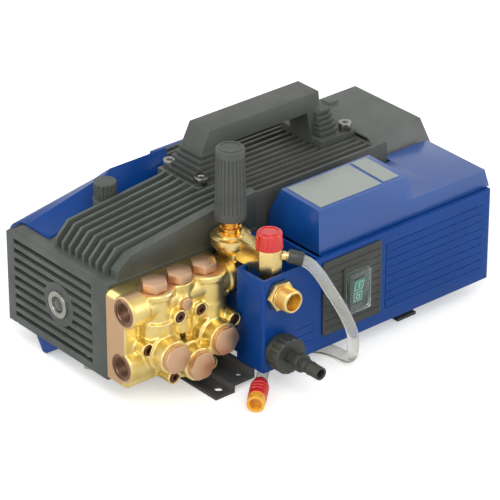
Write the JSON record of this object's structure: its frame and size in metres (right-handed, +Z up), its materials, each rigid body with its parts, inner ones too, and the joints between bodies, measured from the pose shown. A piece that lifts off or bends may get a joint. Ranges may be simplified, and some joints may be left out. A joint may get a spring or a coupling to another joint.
{
  "type": "pressure washer pump",
  "caption": "Hand-carried electric pressure washer pump: finned motor, crankcase with three plungers, brass head, pressure knob, detergent injector and carry handle.",
  "frame": {"origin": "centre of the four foot bolt holes, on the underside of the foot strips", "axes": "+X along the crank and motor shaft from the pump end to the fan end, +Y away from the head and controls, +Z up"},
  "size_m": [0.417, 0.3085, 0.228],
  "materials": {
    "casting": "sand cast, painted dark greenish grey, satin",
    "brass": "forged, satin, machined faces brighter",
    "valve_brass": "machined hexagons",
    "cap_screw_steel": "zinc plated",
    "bronzed_screw": "oil blackened",
    "blue_plastic": "moulded, fine grain",
    "black_plastic": "moulded, fine grain",
    "dark_grey_plastic": "moulded, fine grain",
    "red_plastic": "moulded, glossy",
    "yellow_plastic": "moulded",
    "rocker_plastic": "translucent green",
    "plate": "bare silver-grey",
    "shaft_steel": "ground",
    "rod_metal": "cast",
    "ceramic": "polished ceramic plunger on its crosshead",
    "seal_rubber": "nitrile",
    "laminations": "stacked sheet",
    "copper_wire": "enamelled copper winding",
    "foot_steel": "black coated strip",
    "clear_plastic": "clear moulded hood",
    "sight_glass": "clear lens",
    "hose_plastic": "milky translucent soft tube"
  },
  "bodies": {
    "root": {"crankcase": "casting", "crankcase_rear_cover": "casting", "cap_screws": "cap_screw_steel", "sight_glass_ring": "black_plastic", "sight_glass_lens": "sight_glass", "oil_drain_plug": "cap_screw_steel", "shaft_bearings": "shaft_steel", "oil_seals": "seal_rubber", "plunger_packings": "brass", "pump_head": "brass", "valve_caps": "valve_brass", "check_valves": "shaft_steel", "head_screws": "bronzed_screw", "gauge_port_plug": "valve_brass", "motor_frame": "casting", "stator_core": "laminations", "stator_windings": "copper_wire", "motor_end_shields": "casting", "fan_cowl": "black_plastic", "carry_handle": "black_plastic", "control_housing": "blue_plastic", "top_cover": "blue_plastic", "name_plates": "plate", "rear_shroud": "blue_plastic", "corner_foot": "blue_plastic", "switch_panel": "black_plastic", "switch_body": "black_plastic", "switch_hood": "clear_plastic", "run_capacitor": "plate", "cable_gland": "black_plastic", "unloader_body": "brass", "unloader_collar": "brass", "unloader_piston": "shaft_steel", "unloader_spring": "shaft_steel", "hose_barb": "brass", "outlet_fitting": "brass", "supply_elbow": "black_plastic", "inlet_flange": "black_plastic", "inlet_tail": "black_plastic", "pump_foot_bracket": "foot_steel", "motor_foot_bracket": "foot_steel", "detergent_hose": "hose_plastic", "strainer_body": "red_plastic", "strainer_screen": "yellow_plastic"},
    "crank_line": {"crankshaft": "shaft_steel", "shaft_coupling": "shaft_steel", "motor_shaft": "shaft_steel", "rotor_core": "laminations", "cooling_fan": "black_plastic"},
    "pressure_knob": {"unloader_knob": "dark_grey_plastic"},
    "dosing_knob": {"injector_knob": "red_plastic"},
    "rocker": {"switch_rocker": "rocker_plastic"},
    "oil_cap": {"oil_filler_cap": "black_plastic"},
    "swivel_nut": {"inlet_nut": "black_plastic"},
    "rod_1": {"connecting_rod_1": "rod_metal"},
    "crosshead_1": {"plunger_1": "ceramic"},
    "rod_2": {"connecting_rod_2": "rod_metal"},
    "crosshead_2": {"plunger_2": "ceramic"},
    "rod_3": {"connecting_rod_3": "rod_metal"},
    "crosshead_3": {"plunger_3": "ceramic"}
  },
  "joints": [
    {"name": "crank_spin", "type": "hinge", "parent": "root", "child": "crank_line", "pos_m": [-0.03, 0.035, 0.068], "axis": [1, 0, 0], "continuous": true},
    {"name": "rod_1_turn", "type": "hinge", "parent": "crank_line", "child": "rod_1", "pos_m": [-0.168, 0.0385, 0.068], "axis": [1, 0, 0], "continuous": true},
    {"name": "rod_2_turn", "type": "hinge", "parent": "crank_line", "child": "rod_2", "pos_m": [-0.139, 0.03325, 0.07103], "axis": [1, 0, 0], "continuous": true},
    {"name": "rod_3_turn", "type": "hinge", "parent": "crank_line", "child": "rod_3", "pos_m": [-0.11, 0.03325, 0.06497], "axis": [1, 0, 0], "continuous": true},
    {"name": "plunger_1_stroke", "type": "slide", "parent": "root", "child": "crosshead_1", "axis": [0, 1, 0], "range_m": [-0.007, 0]},
    {"name": "plunger_2_stroke", "type": "slide", "parent": "root", "child": "crosshead_2", "axis": [0, 1, 0], "range_m": [-0.00175, 0.00525]},
    {"name": "plunger_3_stroke", "type": "slide", "parent": "root", "child": "crosshead_3", "axis": [0, 1, 0], "range_m": [-0.00175, 0.00525]},
    {"name": "pressure_knob_turn", "type": "hinge", "parent": "root", "child": "pressure_knob", "pos_m": [-0.0712, -0.062, 0.19], "axis": [0, 0, 1], "range_deg": [0, 720]},
    {"name": "dosing_knob_turn", "type": "hinge", "parent": "root", "child": "dosing_knob", "pos_m": [-0.064, -0.109, 0.15], "axis": [0, 0, 1], "range_deg": [0, 270]},
    {"name": "rocker_tip", "type": "hinge", "parent": "root", "child": "rocker", "pos_m": [0.029, -0.123, 0.071], "axis": [1, 0, 0], "range_deg": [-14, 0]},
    {"name": "oil_cap_lift", "type": "slide", "parent": "root", "child": "oil_cap", "axis": [0, 0, 1], "range_m": [0, 0.075]},
    {"name": "swivel_nut_turn", "type": "hinge", "parent": "root", "child": "swivel_nut", "pos_m": [-0.066, -0.136, 0.0405], "axis": [0, 1, 0], "continuous": true}
  ],
  "couplings": [
    {"joint": "rod_1_turn", "follows": "crank_spin", "ratio": -1},
    {"joint": "rod_2_turn", "follows": "crank_spin", "ratio": -1},
    {"joint": "rod_3_turn", "follows": "crank_spin", "ratio": -1}
  ]
}
